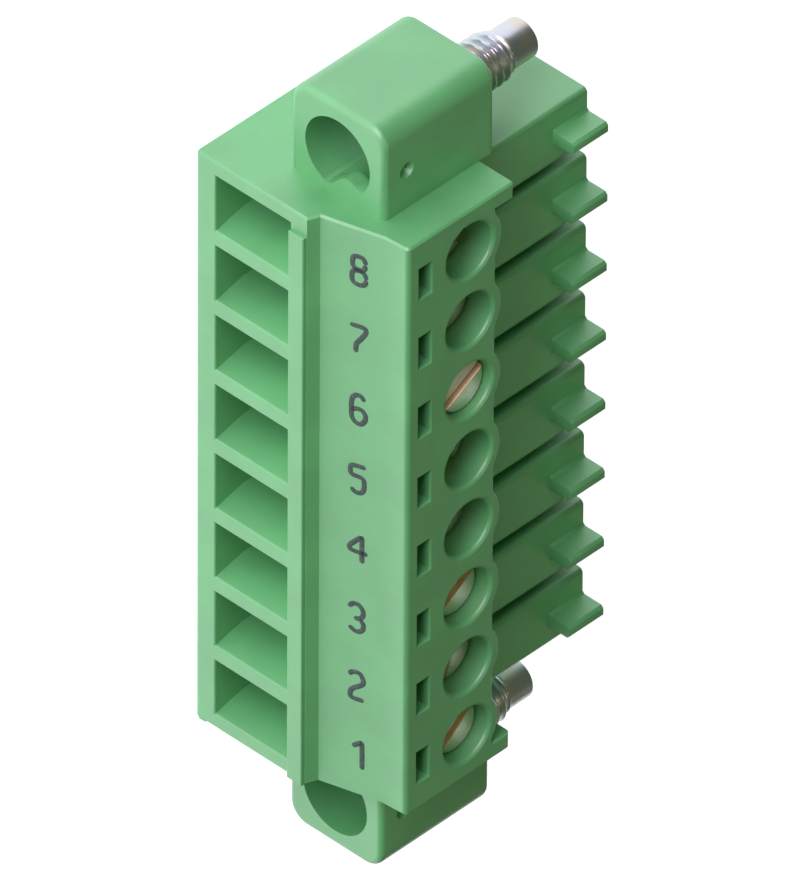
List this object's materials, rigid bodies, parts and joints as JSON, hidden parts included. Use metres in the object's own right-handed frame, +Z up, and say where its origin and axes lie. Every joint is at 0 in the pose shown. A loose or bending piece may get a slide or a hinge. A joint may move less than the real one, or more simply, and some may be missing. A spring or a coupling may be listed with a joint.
{
  "type": "pluggable terminal block",
  "caption": "Green pluggable screw terminal block with a wire mouth, clamp screw and test slot at each pole, a fingered plug nose, and screw flanges at both ends.",
  "frame": {"origin": "on the underside, below the middle of the row of clamp screw axes", "axes": "+X along the row of poles from pole 8 to pole 1, +Y in the plugging direction, +Z up, towards the side that the screwdriver reaches"},
  "size_m": [0.0408, 0.0155, 0.0111],
  "materials": {
    "green_plastic": "satin",
    "screw_steel": "nickel plated",
    "sleeve_metal": "nickel plated",
    "contact_metal": "tin plated",
    "marking_ink": "printed pole numbers"
  },
  "bodies": {
    "body": {"housing": "green_plastic", "flange_pole_8": "green_plastic", "flange_pole_1": "green_plastic", "contact_8": "contact_metal", "contact_7": "contact_metal", "contact_6": "contact_metal", "contact_5": "contact_metal", "contact_4": "contact_metal", "contact_3": "contact_metal", "contact_2": "contact_metal", "contact_1": "contact_metal"},
    "flange_screw_pole_8": {"flange_screw_pole_8": "screw_steel"},
    "flange_screw_pole_1": {"flange_screw_pole_1": "screw_steel"},
    "clamp_screw_8": {"clamp_screw_8": "screw_steel"},
    "clamp_sleeve_8": {"clamp_sleeve_8": "sleeve_metal"},
    "clamp_screw_7": {"clamp_screw_7": "screw_steel"},
    "clamp_sleeve_7": {"clamp_sleeve_7": "sleeve_metal"},
    "clamp_screw_6": {"clamp_screw_6": "screw_steel"},
    "clamp_sleeve_6": {"clamp_sleeve_6": "sleeve_metal"},
    "clamp_screw_5": {"clamp_screw_5": "screw_steel"},
    "clamp_sleeve_5": {"clamp_sleeve_5": "sleeve_metal"},
    "clamp_screw_4": {"clamp_screw_4": "screw_steel"},
    "clamp_sleeve_4": {"clamp_sleeve_4": "sleeve_metal"},
    "clamp_screw_3": {"clamp_screw_3": "screw_steel"},
    "clamp_sleeve_3": {"clamp_sleeve_3": "sleeve_metal"},
    "clamp_screw_2": {"clamp_screw_2": "screw_steel"},
    "clamp_sleeve_2": {"clamp_sleeve_2": "sleeve_metal"},
    "clamp_screw_1": {"clamp_screw_1": "screw_steel"},
    "clamp_sleeve_1": {"clamp_sleeve_1": "sleeve_metal"}
  },
  "joints": [
    {"name": "flange_screw_pole_8_turn", "type": "hinge", "parent": "body", "child": "flange_screw_pole_8", "pos_m": [-0.01766, 0.001, 0.00634], "axis": [0, 1, 0], "continuous": true},
    {"name": "flange_screw_pole_1_turn", "type": "hinge", "parent": "body", "child": "flange_screw_pole_1", "pos_m": [0.01766, 0.001, 0.00634], "axis": [0, 1, 0], "continuous": true},
    {"name": "clamp_screw_8_turn", "type": "hinge", "parent": "body", "child": "clamp_screw_8", "pos_m": [-0.01333, 0, 0.009], "axis": [0, 0, 1], "range_deg": [-2133, 0]},
    {"name": "clamp_sleeve_8_rise", "type": "slide", "parent": "body", "child": "clamp_sleeve_8", "axis": [0, 0, 1], "range_m": [0, 0.00237]},
    {"name": "clamp_screw_7_turn", "type": "hinge", "parent": "body", "child": "clamp_screw_7", "pos_m": [-0.00953, 0, 0.009], "axis": [0, 0, 1], "range_deg": [-2032.2, 0]},
    {"name": "clamp_sleeve_7_rise", "type": "slide", "parent": "body", "child": "clamp_sleeve_7", "axis": [0, 0, 1], "range_m": [0, 0.00226]},
    {"name": "clamp_screw_6_turn", "type": "hinge", "parent": "body", "child": "clamp_screw_6", "pos_m": [-0.00571, 0, 0.009], "axis": [0, 0, 1], "range_deg": [-1168.2, 0]},
    {"name": "clamp_sleeve_6_rise", "type": "slide", "parent": "body", "child": "clamp_sleeve_6", "axis": [0, 0, 1], "range_m": [0, 0.0013]},
    {"name": "clamp_screw_5_turn", "type": "hinge", "parent": "body", "child": "clamp_screw_5", "pos_m": [-0.00191, 0, 0.009], "axis": [0, 0, 1], "range_deg": [-2133, 0]},
    {"name": "clamp_sleeve_5_rise", "type": "slide", "parent": "body", "child": "clamp_sleeve_5", "axis": [0, 0, 1], "range_m": [0, 0.00237]},
    {"name": "clamp_screw_4_turn", "type": "hinge", "parent": "body", "child": "clamp_screw_4", "pos_m": [0.00191, 0, 0.009], "axis": [0, 0, 1], "range_deg": [-2089.8, 0]},
    {"name": "clamp_sleeve_4_rise", "type": "slide", "parent": "body", "child": "clamp_sleeve_4", "axis": [0, 0, 1], "range_m": [0, 0.00232]},
    {"name": "clamp_screw_3_turn", "type": "hinge", "parent": "body", "child": "clamp_screw_3", "pos_m": [0.00571, 0, 0.009], "axis": [0, 0, 1], "range_deg": [-1485, 0]},
    {"name": "clamp_sleeve_3_rise", "type": "slide", "parent": "body", "child": "clamp_sleeve_3", "axis": [0, 0, 1], "range_m": [0, 0.00165]},
    {"name": "clamp_screw_2_turn", "type": "hinge", "parent": "body", "child": "clamp_screw_2", "pos_m": [0.00953, 0, 0.009], "axis": [0, 0, 1], "range_deg": [-1801.8, 0]},
    {"name": "clamp_sleeve_2_rise", "type": "slide", "parent": "body", "child": "clamp_sleeve_2", "axis": [0, 0, 1], "range_m": [0, 0.002]},
    {"name": "clamp_screw_1_turn", "type": "hinge", "parent": "body", "child": "clamp_screw_1", "pos_m": [0.01333, 0, 0.009], "axis": [0, 0, 1], "range_deg": [-1456.2, 0]},
    {"name": "clamp_sleeve_1_rise", "type": "slide", "parent": "body", "child": "clamp_sleeve_1", "axis": [0, 0, 1], "range_m": [0, 0.00162]}
  ],
  "couplings": [
    {"joint": "clamp_screw_8_turn", "follows": "clamp_sleeve_8_rise", "rad_per_m": -15708},
    {"joint": "clamp_screw_7_turn", "follows": "clamp_sleeve_7_rise", "rad_per_m": -15708},
    {"joint": "clamp_screw_6_turn", "follows": "clamp_sleeve_6_rise", "rad_per_m": -15708},
    {"joint": "clamp_screw_5_turn", "follows": "clamp_sleeve_5_rise", "rad_per_m": -15708},
    {"joint": "clamp_screw_4_turn", "follows": "clamp_sleeve_4_rise", "rad_per_m": -15708},
    {"joint": "clamp_screw_3_turn", "follows": "clamp_sleeve_3_rise", "rad_per_m": -15708},
    {"joint": "clamp_screw_2_turn", "follows": "clamp_sleeve_2_rise", "rad_per_m": -15708},
    {"joint": "clamp_screw_1_turn", "follows": "clamp_sleeve_1_rise", "rad_per_m": -15708}
  ]
}
